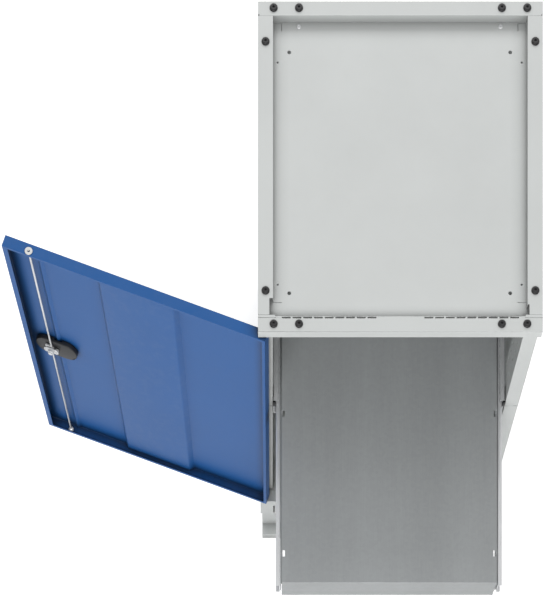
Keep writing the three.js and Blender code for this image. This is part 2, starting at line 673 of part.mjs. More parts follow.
function lockNut() {
  const base = camFront + GAP;
  const body = rod("y", [rodX, 0, doorMiddle], NUT_RADIUS, base, base + NUT_THICKNESS, 6);
  return cut(body, rod("y", [rodX, 0, doorMiddle], SPINDLE_RADIUS + GAP, camFront, base + NUT_THICKNESS + 1));
}

// A lock rod with the cranked end that hooks over its stud on the cam.
function lockRod(up) {
  const s = up ? 1 : -1;
  const tip = up ? doorTop - ROD_TIP_INSET : doorBottom + ROD_TIP_INSET;
  const elbow = doorMiddle + s * ROD_ELBOW;
  const eyeX = rodX + s * ROD_TRAVEL;
  const half = ROD_RADIUS * 0.85;
  const [y0, y1] = [rodY - half, rodY + half];
  const ordered = (a, b) => [Math.min(a, b), Math.max(a, b)];
  const stem = rod("z", [rodX, rodY, 0], ROD_RADIUS, ...ordered(tip, elbow), 16);
  const across = ordered(rodX - s * half, eyeX + s * half);
  const arm = box(...across, y0, y1, ...ordered(elbow - s * half, elbow + s * half));
  const leg = box(eyeX - half, eyeX + half, y0, y1, ...ordered(doorMiddle, elbow + s * half));
  const eye = rod("y", [eyeX, 0, doorMiddle], CAM_STUD_RADIUS + 1.5, y0, y1, 16);
  return join(stem, arm, leg, eye);
}

// ---------------------------------------------------------------- tray
function tray() {
  const [x, y0, y1, top] = [trayHalfWidth, trayFrontY, trayRearY, TRAY_LEVEL];
  const neck = x - TRAY_JOGGLE;
  const sheet = TRAY_SHEET;
  const pieces = [box(-neck, neck, y0, y1, top - sheet, top)];
  pieces.push(box(-neck, neck, y0, y0 + sheet, top - TRAY_FLANGE, top));
  pieces.push(box(-neck, neck, y1 - sheet, y1, top - TRAY_REAR_FLANGE, top));
  for (const s of [-1, 1]) {
    const span = (a, b) => [Math.min(s * a, s * b), Math.max(s * a, s * b)];
    const step = top - TRAY_JOGGLE_DROP;
    pieces.push(box(...span(neck - sheet, neck), y0, y1, step - sheet, top));
    pieces.push(box(...span(neck - sheet, x), y0 + 2, y1, step - sheet, step));
    pieces.push(box(...span(x - sheet, x), y0 + 2, y1, top - TRAY_SIDE_FLANGE, step));
  }
  const slots = [];
  for (const place of TRAY_SLOT_PLACES)
    for (const s of [-1, 1]) {
      const ends = [s * (neck - TRAY_SLOT[0]), s * (x + 1)].sort((a, b) => a - b);
      const [slotFront, slotRear] = [y0 + place - TRAY_SLOT[1] / 2, y0 + place + TRAY_SLOT[1] / 2];
      slots.push(box(...ends, slotFront, slotRear, top - TRAY_JOGGLE_DROP + 1, top + 1));
    }
  return cut(join(...pieces), ...slots);
}

// ---------------------------------------------------------------- runners
// A channel on its side, open towards the tray (toTray) or away from it.
function channel(x0, x1, y0, y1, height, toTray) {
  const [z0, z1] = [runnerMiddle - height / 2, runnerMiddle + height / 2];
  const webX = toTray ? x1 - RUNNER_SHEET : x0;
  const web = box(webX, webX + RUNNER_SHEET, y0, y1, z0, z1);
  const upper = box(x0, x1, y0, y1, z1 - RUNNER_SHEET, z1);
  const lower = box(x0, x1, y0, y1, z0, z0 + RUNNER_SHEET);
  return join(web, upper, lower);
}

const rightFixedRunner = () => {
  const [x0, y0] = [runnerOuterX - FIXED_FLANGE, fixedFrontY];
  return channel(x0, runnerOuterX, y0, y0 + RUNNER_LENGTH, RUNNER_HEIGHT, true);
};
const rightInnerRunner = () => {
  const [x1, y0] = [runnerInnerX + INNER_RUNNER_WIDTH, innerFrontY];
  return channel(runnerInnerX, x1, y0, y0 + RUNNER_LENGTH, innerRunnerHeight, false);
};

const rightRunnerBracket = () =>
  box(
    runnerOuterX,
    postInner,
    postFront + RUNNER_BRACKET_START,
    fixedFrontY + RUNNER_LENGTH,
    runnerMiddle - RUNNER_HEIGHT / 2,
    runnerTop,
  );

const rightRunnerStop = () =>
  box(
    runnerInnerX + INNER_RUNNER_WIDTH + 2 * GAP,
    postInner - GAP,
    fixedFrontY - STOP_LENGTH,
    fixedFrontY,
    runnerTop - STOP_HEIGHT,
    runnerTop,
  );

// Ball cage between the two members: a bent strip and two rows of balls, halfway between their ends.
function rightBallCage() {
  const overlapFront = fixedFrontY;
  const overlapRear = innerFrontY + RUNNER_LENGTH;
  const middle = (overlapFront + overlapRear) / 2;
  const [y0, y1] = [middle - CAGE_LENGTH / 2, middle + CAGE_LENGTH / 2];
  const raceHeight = (innerRunnerHeight + BALL_RACE) / 2;
  const webX = runnerInnerX + INNER_RUNNER_WIDTH + 1;
  const ballX = runnerInnerX + INNER_RUNNER_WIDTH / 2 + 1;
  const [z0, z1] = [runnerMiddle - raceHeight, runnerMiddle + raceHeight];
  const strip = CAGE_SHEET;
  const pieces = [
    box(webX, webX + strip, y0, y1, z0 - strip / 2, z1 + strip / 2),
    box(ballX, webX + strip, y0, y1, z1 - strip / 2, z1 + strip / 2),
    box(ballX, webX + strip, y0, y1, z0 - strip / 2, z0 + strip / 2),
  ];
  for (let i = 0; i < BALLS_PER_ROW; i += 1) {
    const y = y0 + (CAGE_LENGTH * (i + 0.5)) / BALLS_PER_ROW;
    for (const z of [z0, z1]) {
      const ball = new THREE.IcosahedronGeometry(BALL_RACE / 2 - GAP, 0);
      ball.translate(ballX, y, z);
      pieces.push(solid(ball));
    }
  }
  return join(...pieces);
}

// ---------------------------------------------------------------- assembly
function pair(group, name, slot, rightPiece) {
  place(group, `${name}_right`, slot, rightPiece);
  place(group, `${name}_left`, slot, mirrored(rightPiece));
}

pair(cabinet, "side_panel", "grey_paint", rightSidePanel());
place(cabinet, "side_rail_right", "grey_paint", rightSideRail(RAIL_NOTCH.right));
place(cabinet, "side_rail_left", "grey_paint", mirrored(rightSideRail(RAIL_NOTCH.left)));
place(cabinet, "top_rail_front", "grey_paint", frontTopRail());
place(cabinet, "top_rail_rear", "grey_paint", rearTopRail());
place(cabinet, "roof_panel", "grey_paint", roofPanel());
place(cabinet, "roof_rivet_right", "zinc", roofRivet(1));
place(cabinet, "roof_rivet_left", "zinc", roofRivet(-1));
place(cabinet, "back_panel", "grey_paint", backPanel());
place(cabinet, "floor_panel", "grey_paint", floorPanel());
place(cabinet, "base_front_rail", "grey_paint", baseFrontRail());
place(cabinet, "kick_panel", "grey_paint", kickPanel());
place(cabinet, "plinth_rear", "grey_paint", plinthRearPanel());
pair(cabinet, "plinth_side", "grey_paint", rightPlinthSide());
place(cabinet, "base_pan", "grey_paint", basePan());
topScrews();
place(cabinet, "hinge_pin_upper", "zinc", hingePin(true));
place(cabinet, "hinge_pin_lower", "zinc", hingePin(false));
place(cabinet, "hinge_washer", "white_plastic", hingeWasher());
pair(cabinet, "runner_bracket", "galvanised", rightRunnerBracket());
pair(cabinet, "runner_fixed", "zinc", rightFixedRunner());
pair(cabinet, "runner_stop", "black_plastic", rightRunnerStop());
pair(cabinet, "runner_inner", "zinc", rightInnerRunner());
pair(cabinet, "ball_cage", "zinc", rightBallCage());
place(cabinet, "tray", "galvanised", tray());

place(doorGroup, "door_panel", "blue_paint", doorPanel());
place(doorGroup, "door_stiffener", "blue_paint", doorStiffener());
place(doorGroup, "lock_strip", "blue_paint", lockStrip());
place(doorGroup, "rod_bush_upper", "white_plastic", rodBush(BUSH_RADIUS, doorTop, BUSH_COLLAR));
const lowerBush = rodBush(LOWER_BUSH_RADIUS, doorBottom + SHEET, LOWER_BUSH_COLLAR);
place(doorGroup, "rod_bush_lower", "zinc", lowerBush);
place(doorGroup, "lock_case", "black_plastic", lockCase());
place(doorGroup, "lock_rose", "black_plastic", lockRose());
place(doorGroup, "lock_knob", "black_plastic", lockKnob());
place(doorGroup, "key_barrel", "zinc", keyBarrel());
place(doorGroup, "lock_spindle", "zinc", lockSpindle());
place(doorGroup, "lock_cam", "zinc", lockCam());
place(doorGroup, "lock_nut", "zinc", lockNut());
place(doorGroup, "rod_upper", "zinc", lockRod(true));
place(doorGroup, "rod_lower", "zinc", lockRod(false));

doorGroup.position.set(-pivotX, -pivotY, 0);
const swing = new THREE.Group();
swing.position.set(pivotX, pivotY, 0);
swing.rotation.z = THREE.MathUtils.degToRad(-DOOR_OPEN_ANGLE);
swing.add(doorGroup);
cabinet.add(swing);

export default cabinet;
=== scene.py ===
import json
from math import atan2, cos, pi, radians, sin

import bmesh
import bpy
from mathutils import Matrix, Vector


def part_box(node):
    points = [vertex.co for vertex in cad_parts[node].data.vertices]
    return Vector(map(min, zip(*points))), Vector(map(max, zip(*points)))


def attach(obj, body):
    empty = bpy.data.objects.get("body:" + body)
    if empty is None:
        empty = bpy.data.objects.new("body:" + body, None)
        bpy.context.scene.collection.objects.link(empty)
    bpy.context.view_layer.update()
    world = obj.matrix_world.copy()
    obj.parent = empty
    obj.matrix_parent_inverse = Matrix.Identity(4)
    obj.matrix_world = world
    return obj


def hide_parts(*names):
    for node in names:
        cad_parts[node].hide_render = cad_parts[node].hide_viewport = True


bl_info = {
    "name": "Sheet-steel base cabinet with pull-out tray",
    "version": (1, 0, 0),
    "blender": (4, 5, 0),
    "location": "3D View > Sidebar > Cabinet",
    "description": "Dresses the cabinet frame with finished sheet metal, fasteners, runners and lock parts",
    "category": "Object",
}

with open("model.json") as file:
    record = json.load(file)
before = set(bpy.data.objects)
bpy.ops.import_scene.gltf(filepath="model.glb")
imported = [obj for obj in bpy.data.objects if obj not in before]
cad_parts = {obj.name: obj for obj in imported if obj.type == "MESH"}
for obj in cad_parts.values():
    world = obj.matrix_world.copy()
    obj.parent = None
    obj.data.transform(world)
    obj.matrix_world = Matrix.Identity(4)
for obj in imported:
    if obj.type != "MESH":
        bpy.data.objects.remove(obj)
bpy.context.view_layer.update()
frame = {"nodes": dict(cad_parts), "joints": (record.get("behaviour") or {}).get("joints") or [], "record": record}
NODES = frame["nodes"]
JOINTS = {joint["name"]: joint for joint in frame["joints"]}
MM = 0.001
UP = Vector((0, 0, 1))

# ------------------------------------------------------------------ places taken from the frame
PIVOT = Vector(JOINTS["door_hinge"]["pos_m"])
LOCK_AXIS = Vector(JOINTS["lock_turn"]["axis"])
SPINDLE = Vector(JOINTS["lock_turn"]["pos_m"])
# The lock's axis points straight out of the shut door, so it gives the angle the door stands open at.
DOOR_SWING = atan2(LOCK_AXIS.y, LOCK_AXIS.x) + pi / 2
DOOR = Matrix.Translation(PIVOT) @ Matrix.Rotation(DOOR_SWING, 4, "Z") @ Matrix.Translation(-PIVOT)
SHUT = DOOR.inverted()


def shut_box(node):
    """Lowest and highest corner of a door node, as if the door were shut."""
    points = [SHUT @ v.co for v in NODES[node].data.vertices]
    low = Vector([min(p[k] for p in points) for k in range(3)])
    return low, Vector([max(p[k] for p in points) for k in range(3)])


# ------------------------------------------------------------------ settings
class CabinetFinish(bpy.types.PropertyGroup):
    """Colours of the cabinet's finishes, and how worn the paint is"""

    grey: bpy.props.FloatVectorProperty(
        name="Grey paint", description="Powder coat of the carcass, top frame and plinth", subtype="COLOR",
        size=3, min=0, max=1, default=(0.62, 0.64, 0.632))
    blue: bpy.props.FloatVectorProperty(
        name="Blue paint", description="Powder coat of the door", subtype="COLOR",
        size=3, min=0, max=1, default=(0.013, 0.100, 0.325))
    galvanised: bpy.props.FloatVectorProperty(
        name="Galvanised sheet", description="Tray and runner packers", subtype="COLOR",
        size=3, min=0, max=1, default=(0.335, 0.35, 0.355))
    zinc: bpy.props.FloatVectorProperty(
        name="Bright zinc", description="Runners, rods, cam, hinge pins and rivets", subtype="COLOR",
        size=3, min=0, max=1, default=(0.70, 0.71, 0.72))
    black: bpy.props.FloatVectorProperty(
        name="Black plastic", description="Screw heads, runner stops, lock case, rose and knob",
        subtype="COLOR",
        size=3, min=0, max=1, default=(0.014, 0.014, 0.015))
    white: bpy.props.FloatVectorProperty(
        name="White plastic", description="Rod bush and hinge washer", subtype="COLOR",
        size=3, min=0, max=1, default=(0.78, 0.78, 0.76))
    wear: bpy.props.FloatProperty(
        name="Edge wear", description="How far the paint has rubbed off along bends",
        subtype="FACTOR", min=0, max=1, default=0.03)


class CabinetSizes(bpy.types.PropertyGroup):
    """Small sizes that finish the sheet metal and the fasteners"""

    bend: bpy.props.FloatProperty(
        name="Bend radius", description="Rounding along the folded edges", unit="LENGTH",
        min=0.0001, max=0.001, default=0.45 * MM)
    screw_rise: bpy.props.FloatProperty(
        name="Screw rise", description="Height of a button head above the frame", unit="LENGTH",
        min=0.001, max=0.004, default=3.1 * MM)
    socket: bpy.props.FloatProperty(
        name="Socket radius", description="Hexagon socket of a button head", unit="LENGTH",
        min=0.001, max=0.004, default=2.5 * MM)
    ball: bpy.props.FloatProperty(
        name="Ball radius", description="Balls of the tray runners", unit="LENGTH",
        min=0.001, max=0.004, default=2.6 * MM)


def finish_settings():
    """The colours and wear chosen in the sidebar."""
    return bpy.context.scene.cabinet_finish


def sizes():
    """The small sizes chosen in the sidebar."""
    return bpy.context.scene.cabinet_sizes


# ------------------------------------------------------------------ mesh helpers
def publish(bm, name, body, slot, nodes=(), smooth=35, door=False):
    """Turns a bmesh into a piece that rides on a body, takes a slot's finish and stands for nodes.
    Without a smooth angle, only the faces already marked smooth are shaded so."""
    if door:
        bmesh.ops.transform(bm, matrix=DOOR, verts=bm.verts)
    mesh = bpy.data.meshes.new(name)
    bm.to_mesh(mesh)
    bm.free()
    if smooth:
        mesh.shade_smooth()
        mesh.set_sharp_from_angle(angle=radians(smooth))
    piece = bpy.data.objects.new(name, mesh)
    bpy.context.scene.collection.objects.link(piece)
    mesh.materials.append(bpy.data.materials[slot])
    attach(piece, body)
    if nodes:
        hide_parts(*nodes)
    return piece


def round_edges(bm, width, sharper_than=30, longer_than=3 * MM, segments=2):
    """Rounds the long sharp edges of a closed mesh."""
    edges = [
        e for e in bm.edges
        if len(e.link_faces) == 2
        and e.calc_face_angle(0) > radians(sharper_than)
        and e.calc_length() > longer_than
    ]
    made = bmesh.ops.bevel(
        bm, geom=edges, offset=width, offset_type="OFFSET", affect="EDGES", segments=segments,
        profile=0.5, material=-1, clamp_overlap=False, loop_slide=True)
    for face in made["faces"]:
        face.smooth = True


def node_copy(node):
    """A merged copy of a node's mesh, its flat faces whole again."""
    bm = bmesh.new()
    bm.from_mesh(NODES[node].data)
    bmesh.ops.remove_doubles(bm, verts=bm.verts, dist=0.01 * MM)
    bmesh.ops.dissolve_limit(bm, angle_limit=radians(0.5), verts=bm.verts, edges=bm.edges)
    bmesh.ops.triangulate(bm, faces=bm.faces, quad_method="BEAUTY", ngon_method="BEAUTY")
    return bm


def rounded_node(node, body, slot, width, **options):
    """A sheet-metal node with rounded bends and flat faces between them."""
    bm = node_copy(node)
    for face in bm.faces:
        face.smooth = False
    round_edges(bm, width, **options)
    bmesh.ops.triangulate(bm, faces=bm.faces, quad_method="BEAUTY", ngon_method="BEAUTY")
    return publish(bm, f"{node}_sheet", body, slot, [node], smooth=None)


def eased_node(node, kind, body, slot, width, **options):
    """A solid node with its longer sharp edges eased."""
    bm = node_copy(node)
    round_edges(bm, width, **options)
    return publish(bm, f"{node}_{kind}", body, slot, [node])


def ring(bm, profile, centre, steps=32, axis=UP, lift=(1, 0, 0)):
    """Spins a profile of (radius, height) points about an axis through a centre."""
    side = Vector(lift)
    points = [bm.verts.new(side * r + Vector(axis) * h) for r, h in profile]
    edges = [bm.edges.new(pair) for pair in zip(points, points[1:])]
    bmesh.ops.spin(
        bm, geom=[*points, *edges], cent=(0, 0, 0), axis=axis, dvec=(0, 0, 0), angle=2 * pi,
        steps=steps, use_merge=True, use_duplicate=False)
    bmesh.ops.remove_doubles(bm, verts=bm.verts, dist=0.005 * MM)
    bmesh.ops.recalc_face_normals(bm, faces=bm.faces)
    bmesh.ops.translate(bm, verts=bm.verts, vec=centre)
    return bm


def turned(profile, centre, steps=32, axis=UP, lift=(1, 0, 0)):
    """A new turned shape, from a profile of (radius, height) points."""
    return ring(bmesh.new(), profile, Vector(centre), steps, axis, lift)


def add(target, source):
    """Puts one bmesh into another, as a separate shell."""
    mesh = bpy.data.meshes.new("shell")
    source.to_mesh(mesh)
    source.free()
    target.from_mesh(mesh)
    bpy.data.meshes.remove(mesh)


def block(low, high):
    """A box between two corners."""
    low, high = Vector(low), Vector(high)
    bm = bmesh.new()
    matrix = Matrix.Translation((low + high) / 2) @ Matrix.Diagonal((*(high - low), 1))
    bmesh.ops.create_cube(bm, size=1, matrix=matrix)
    return bm


def folded(line, first, last, thickness, bend, axis="Y"):
    """A sheet folded along a line of (across, up) points, its bends rounded, run from first to last."""
    bm = bmesh.new()
    if axis == "Y":
        points = [bm.verts.new((a, first, b)) for a, b in line]
        travel = Vector((0, last - first, 0))
    else:
        points = [bm.verts.new((a, b, first)) for a, b in line]
        travel = Vector((0, 0, last - first))
    edges = [bm.edges.new(pair) for pair in zip(points, points[1:])]
    made = bmesh.ops.extrude_edge_only(bm, edges=edges)
    moved = [g for g in made["geom"] if isinstance(g, bmesh.types.BMVert)]
    bmesh.ops.translate(bm, verts=moved, vec=travel)
    bends = [e for e in bm.edges if len(e.link_faces) == 2]
    bmesh.ops.bevel(
        bm, geom=bends, offset=bend, offset_type="OFFSET", affect="EDGES", segments=3,
        profile=0.5, material=-1, clamp_overlap=True)
    bmesh.ops.recalc_face_normals(bm, faces=bm.faces)
    bmesh.ops.solidify(bm, geom=bm.faces[:], thickness=thickness)
    bmesh.ops.recalc_face_normals(bm, faces=bm.faces)
    return bm


# ------------------------------------------------------------------ shader helpers
class Nodes:
    """A node tree, with short ways to add a node, join two sockets and set a value."""

    def __init__(self, tree):
        self.tree = tree
        tree.nodes.clear()

    def add(self, kind, **values):
        node = self.tree.nodes.new(kind)
        for key, value in values.items():
            setattr(node, key, value)
        return node

    def join(self, output, socket):
        self.tree.links.new(output, socket)

    def math(self, operation, first, second=None, clamp=False):
        node = self.add("ShaderNodeMath", operation=operation, use_clamp=clamp)
        for socket, value in zip(node.inputs, (first, second)):
            if isinstance(value, (int, float)):
                socket.default_value = value
            elif value is not None:
                self.join(value, socket)
        return node.outputs[0]

    def noise(self, vector, scale, detail=2, roughness=0.5):
        node = self.add("ShaderNodeTexNoise")
        node.inputs["Detail"].default_value = detail
        node.inputs["Roughness"].default_value = roughness
        self.join(vector, node.inputs["Vector"])
        if isinstance(scale, (int, float)):
            node.inputs["Scale"].default_value = scale
        else:
            self.join(scale, node.inputs["Scale"])
        return node.outputs["Fac"]

    def spread(self, value, low, high, to_low=0.0, to_high=1.0):
        node = self.add("ShaderNodeMapRange")
        ends = (("From Min", low), ("From Max", high), ("To Min", to_low), ("To Max", to_high))
        for key, number in ends:
            if isinstance(number, (int, float)):
                node.inputs[key].default_value = number
            else:
                self.join(number, node.inputs[key])
        self.join(value, node.inputs["Value"])
        return node.outputs["Result"]

    def stretched(self, vector, scale):
        node = self.add("ShaderNodeMapping")
        node.inputs["Scale"].default_value = scale
        self.join(vector, node.inputs["Vector"])
        return node.outputs["Vector"]

    def blend(self, factor, first, second, kind="MIX"):
        node = self.add("ShaderNodeMix", data_type="RGBA", blend_type=kind)
        # By name, a Mix node gives its sockets of the kind that is in use.
        for key, value in (("Factor", factor), ("A", first), ("B", second)):
            if isinstance(value, (int, float, tuple)):
                node.inputs[key].default_value = value
            else:
                self.join(value, node.inputs[key])
        return node.outputs["Result"]


def new_group(name, inputs, outputs):
    """An empty shader node group with named sockets. Each is (name, kind) or (name, kind, default)."""
    tree = bpy.data.node_groups.new(name, "ShaderNodeTree")
    nodes = Nodes(tree)
    for direction, sockets in (("INPUT", inputs), ("OUTPUT", outputs)):
        for label, kind, *rest in sockets:
            socket = tree.interface.new_socket(
                name=label, in_out=direction, socket_type=f"NodeSocket{kind}")
            if rest:
                socket.default_value = rest[0]
    return nodes, nodes.add("NodeGroupInput").outputs, nodes.add("NodeGroupOutput").inputs


def powder_coat_group():
    """Orange peel and a faint unevenness of a sprayed and baked coat."""
    nodes, given, made = new_group(
        "powder_coat",
        [("Vector", "Vector"), ("Peel Size", "Float", 700.0), ("Unevenness", "Float", 0.04)],
        [("Height", "Float"), ("Shade", "Float")],
    )
    peel = nodes.noise(given["Vector"], given["Peel Size"], 2, 0.5)
    fine = nodes.noise(given["Vector"], nodes.math("MULTIPLY", given["Peel Size"], 3.1), 1, 0.6)
    nodes.join(nodes.math("ADD", peel, nodes.math("MULTIPLY", fine, 0.35)), made["Height"])
    broad = nodes.noise(given["Vector"], 5.5, 3, 0.6)
    low = nodes.math("SUBTRACT", 1.0, given["Unevenness"])
    nodes.join(nodes.spread(broad, 0.3, 0.7, low, 1.0), made["Shade"])
    return nodes.tree


def edge_wear_group():
    """Where a coat has rubbed thin along convex edges."""
    nodes, given, made = new_group(
        "edge_wear",
        [("Vector", "Vector"), ("Amount", "Float", 0.25)],
        [("Mask", "Float")],
    )
    point = nodes.add("ShaderNodeNewGeometry").outputs["Pointiness"]
    edge = nodes.spread(point, 0.53, 0.62)
    patches = nodes.spread(nodes.noise(given["Vector"], 60, 4, 0.65), 0.48, 0.66)
    rubbed = nodes.math("MULTIPLY", edge, patches)
    nodes.join(nodes.math("MULTIPLY", rubbed, given["Amount"], True), made["Mask"])
    return nodes.tree


def dust_group():
    """A thin film of dust on what faces up."""
    nodes, given, made = new_group(
        "dust",
        [("Vector", "Vector"), ("Amount", "Float", 0.1)],
        [("Mask", "Float")],
    )
    split = nodes.add("ShaderNodeSeparateXYZ")
    nodes.join(nodes.add("ShaderNodeNewGeometry").outputs["Normal"], split.inputs[0])
    facing = nodes.spread(split.outputs["Z"], 0.3, 1.0)
    cloud = nodes.spread(nodes.noise(given["Vector"], 14, 5, 0.6), 0.35, 0.75)
    settled = nodes.math("MULTIPLY", facing, cloud)
    nodes.join(nodes.math("MULTIPLY", settled, given["Amount"], True), made["Mask"])
    return nodes.tree


def painted_shade_group():
    """Painted shade: a darker colour where two sheets meet in an inner corner, darker the more closed in it is."""
    nodes, given, made = new_group(
        "painted_shade",
        [("Reach", "Float", 0.03), ("Amount", "Float", 0.5)],
        [("Shade", "Float")],
    )
    open_sky = nodes.add("ShaderNodeAmbientOcclusion", samples=8)
    nodes.join(given["Reach"], open_sky.inputs["Distance"])
    darkest = nodes.math("SUBTRACT", 1.0, given["Amount"])
    nodes.join(nodes.spread(open_sky.outputs["AO"], 0.45, 0.95, darkest, 1.0), made["Shade"])
    return nodes.tree


def drawn_metal_group():
    """Fine lines left by rolling and drawing, along the stretched direction of the vector."""
    nodes, given, made = new_group(
        "drawn_metal",
        [("Vector", "Vector"), ("Line Size", "Float", 900.0)],
        [("Lines", "Float"), ("Cloud", "Float")],
    )
    nodes.join(nodes.noise(given["Vector"], given["Line Size"], 3, 0.6), made["Lines"])
    nodes.join(nodes.noise(given["Vector"], 9, 4, 0.6), made["Cloud"])
    return nodes.tree


def scuff_group():
    """Short hairline scratches and handling marks."""
    nodes, given, made = new_group(
        "scuffs",
        [("Vector", "Vector"), ("Amount", "Float", 0.2)],
        [("Mask", "Float")],
    )
    waves = nodes.add("ShaderNodeTexNoise", noise_dimensions="3D")
    waves.inputs["Scale"].default_value = 18
    waves.inputs["Detail"].default_value = 6
    waves.inputs["Roughness"].default_value = 0.72
    waves.inputs["Distortion"].default_value = 1.4
    nodes.join(nodes.stretched(given["Vector"], (1, 6, 2.5)), waves.inputs["Vector"])
    thin = nodes.math("ABSOLUTE", nodes.math("SUBTRACT", waves.outputs["Fac"], 0.5))
    line = nodes.spread(thin, 0.0, 0.012, 1.0, 0.0)
    place = nodes.spread(nodes.noise(given["Vector"], 7, 2, 0.5), 0.55, 0.7)
    marks = nodes.math("MULTIPLY", line, place)
    nodes.join(nodes.math("MULTIPLY", marks, given["Amount"], True), made["Mask"])
    return nodes.tree


def start_material(name):
    """Starts a slot's finish afresh, in place of the plain one that came with the frame."""
    material = bpy.data.materials.get(name) or bpy.data.materials.new(name)
    material.use_nodes = True
    nodes = Nodes(material.node_tree)
    shader = nodes.add("ShaderNodeBsdfPrincipled")
    nodes.join(shader.outputs["BSDF"], nodes.add("ShaderNodeOutputMaterial").inputs["Surface"])
    place = nodes.add("ShaderNodeTexCoord").outputs["Object"]
    return nodes, shader, place


def use_group(nodes, name, vector, **values):
    node = nodes.add("ShaderNodeGroup", node_tree=bpy.data.node_groups[name])
    if vector:
        nodes.join(vector, node.inputs["Vector"])
    for key, value in values.items():
        node.inputs[key.replace("_", " ")].default_value = value
    return node.outputs


def shaded(nodes, colour, shade):
    """A colour multiplied by a grey value."""
    grey = nodes.add("ShaderNodeCombineColor")
    for socket in grey.inputs:
        nodes.join(shade, socket)
    return nodes.blend(1.0, (*colour, 1), grey.outputs["Color"], "MULTIPLY")


def raise_surface(nodes, shader, height, distance, strength=1.0):
    bump = nodes.add("ShaderNodeBump")
    bump.inputs["Distance"].default_value = distance
    bump.inputs["Strength"].default_value = strength
    nodes.join(height, bump.inputs["Height"])
    nodes.join(bump.outputs["Normal"], shader.inputs["Normal"])


def painted(name, colour, bare, roughness, peel_size, dust, wear, shine, painted_shade):
    """Powder coat over steel, with dust, edge wear, hairline scuffs and painted shade in inner corners."""
    nodes, shader, place = start_material(name)
    coat = use_group(nodes, "powder_coat", place, Peel_Size=peel_size, Unevenness=0.05)
    worn = use_group(nodes, "edge_wear", place, Amount=wear)["Mask"]
    film = use_group(nodes, "dust", place, Amount=dust)["Mask"]
    scuffs = use_group(nodes, "scuffs", place, Amount=0.18)["Mask"]
    # Painted shade: the colour darkens in inner corners, by how closed in they are.
    corner = use_group(nodes, "painted_shade", None, Amount=painted_shade)["Shade"]
    tint = shaded(nodes, colour, nodes.math("MULTIPLY", coat["Shade"], corner))
    shader.inputs["Specular IOR Level"].default_value = shine
    tint = nodes.blend(worn, tint, (*bare, 1))
    tint = nodes.blend(film, tint, (0.55, 0.54, 0.52, 1))
    nodes.join(tint, shader.inputs["Base Color"])
    dull = nodes.spread(coat["Height"], 0.3, 0.9, roughness - 0.04, roughness + 0.05)
    dull = nodes.math("ADD", dull, nodes.math("MULTIPLY", film, 0.5), True)
    dull = nodes.math("ADD", dull, nodes.math("MULTIPLY", scuffs, 0.3), True)
    nodes.join(dull, shader.inputs["Roughness"])
    raise_surface(nodes, shader, coat["Height"], 0.03 * MM, 0.5)


def plated(name, colour, roughness, stretch, line_size, metallic, spangle, line_depth):
    """Zinc-plated or galvanised steel, with rolling lines and, if asked for, spangle."""
    nodes, shader, place = start_material(name)
    lines = use_group(nodes, "drawn_metal", nodes.stretched(place, stretch), Line_Size=line_size)
    scuffs = use_group(nodes, "scuffs", place, Amount=0.4)["Mask"]
    shade = nodes.spread(lines["Lines"], 0.3, 0.7, 1 - line_depth, 1.0)
    shade = nodes.math("MULTIPLY", shade, nodes.spread(lines["Cloud"], 0.3, 0.7, 0.9, 1.05))
    if spangle:
        cells = nodes.add("ShaderNodeTexVoronoi")
        cells.inputs["Scale"].default_value = 160
        nodes.join(place, cells.inputs["Vector"])
        split = nodes.add("ShaderNodeSeparateColor")
        nodes.join(cells.outputs["Color"], split.inputs["Color"])
        flake = nodes.spread(split.outputs["Red"], 0.0, 1.0, 1 - spangle, 1.0 + spangle * 0.5)
        shade = nodes.math("MULTIPLY", shade, flake)
    nodes.join(shaded(nodes, colour, shade), shader.inputs["Base Color"])
    shader.inputs["Metallic"].default_value = metallic
    dull = nodes.spread(lines["Lines"], 0.3, 0.7, roughness - 0.06, roughness + 0.08)
    dull = nodes.math("ADD", dull, nodes.math("MULTIPLY", scuffs, 0.25), True)
    nodes.join(dull, shader.inputs["Roughness"])
    raise_surface(nodes, shader, lines["Lines"], 0.02 * MM, 0.4)


def moulded(name, colour, roughness, grain, dust, shine):
    """Lightly grained plastic with a film of dust."""
    nodes, shader, place = start_material(name)
    coat = use_group(nodes, "powder_coat", place, Peel_Size=grain, Unevenness=0.12)
    film = use_group(nodes, "dust", place, Amount=dust)["Mask"]
    tint = nodes.blend(film, shaded(nodes, colour, coat["Shade"]), (0.3, 0.3, 0.29, 1))
    shader.inputs["Specular IOR Level"].default_value = shine
    nodes.join(tint, shader.inputs["Base Color"])
    nodes.join(
        nodes.spread(coat["Height"], 0.3, 0.9, roughness - 0.05, roughness + 0.08),
        shader.inputs["Roughness"])
    raise_surface(nodes, shader, coat["Height"], 0.04 * MM, 0.5)


class CABINET_OT_finishes(bpy.types.Operator):
    """Builds the node groups and the six finishes, and gives each node of the frame its own"""

    bl_idname = "cabinet.finishes"
    bl_label = "Finishes"

    def execute(self, context):
        chosen = finish_settings()
        groups = (
            powder_coat_group, edge_wear_group, dust_group, painted_shade_group, drawn_metal_group, scuff_group)
        for build in groups:
            build()
        steel = (0.35, 0.35, 0.34)
        # The last value of each painted finish is how dark the painted shade in its inner corners gets.
        painted(
            "grey_paint", tuple(chosen.grey), steel, roughness=0.48, peel_size=620, dust=0.03,
            wear=chosen.wear, shine=0.5, painted_shade=0.5)
        painted(
            "blue_paint", tuple(chosen.blue), steel, roughness=0.40, peel_size=620, dust=0.02,
            wear=chosen.wear, shine=0.28, painted_shade=0.85)
        plated(
            "galvanised", tuple(chosen.galvanised), roughness=0.42, stretch=(1, 0.04, 1),
            line_size=520, metallic=0.1, spangle=0.03, line_depth=0.05)
        plated(
            "zinc", tuple(chosen.zinc), roughness=0.32, stretch=(1, 0.03, 1),
            line_size=900, metallic=0.45, spangle=0, line_depth=0.15)
        moulded(
            "black_plastic", tuple(chosen.black), roughness=0.40, grain=1400, dust=0.01, shine=0.32)
        moulded(
            "white_plastic", tuple(chosen.white), roughness=0.38, grain=1100, dust=0.02, shine=0.5)
        for part in frame["record"]["subparts"]:
            node = NODES[part["node"]]
            node.data.materials.clear()
            node.data.materials.append(bpy.data.materials[part["material_slot"]])
        return {"FINISHED"}


